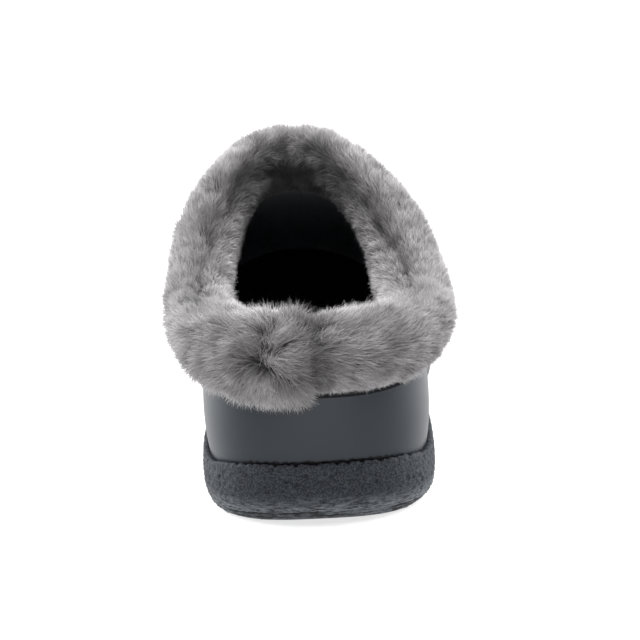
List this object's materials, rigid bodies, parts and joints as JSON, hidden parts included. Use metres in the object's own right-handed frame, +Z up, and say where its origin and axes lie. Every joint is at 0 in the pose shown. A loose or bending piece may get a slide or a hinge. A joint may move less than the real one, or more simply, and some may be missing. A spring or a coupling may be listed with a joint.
{
  "type": "fur-cuffed slip-on shoe",
  "caption": "Right slip-on shoe with a closed heel: smooth dark leather upper, thick grey fur cuff folded over the collar, and a grained rubber cup sole.",
  "frame": {"origin": "middle of the shoe's box on the floor plane, under the sole", "axes": "+Y from heel to toe, +X to the outer side of the right foot, +Z up from the floor"},
  "size_m": [0.092, 0.2648, 0.0973],
  "materials": {
    "crumb_rubber": "matt, fine crumb grain",
    "black_lining": "matt",
    "smooth_leather": "smooth satin",
    "grey_fur": "deep soft pile"
  },
  "bodies": {
    "root": {"outsole": "crumb_rubber", "insole": "black_lining", "upper": "smooth_leather", "fur_cuff": "grey_fur"}
  },
  "joints": []
}
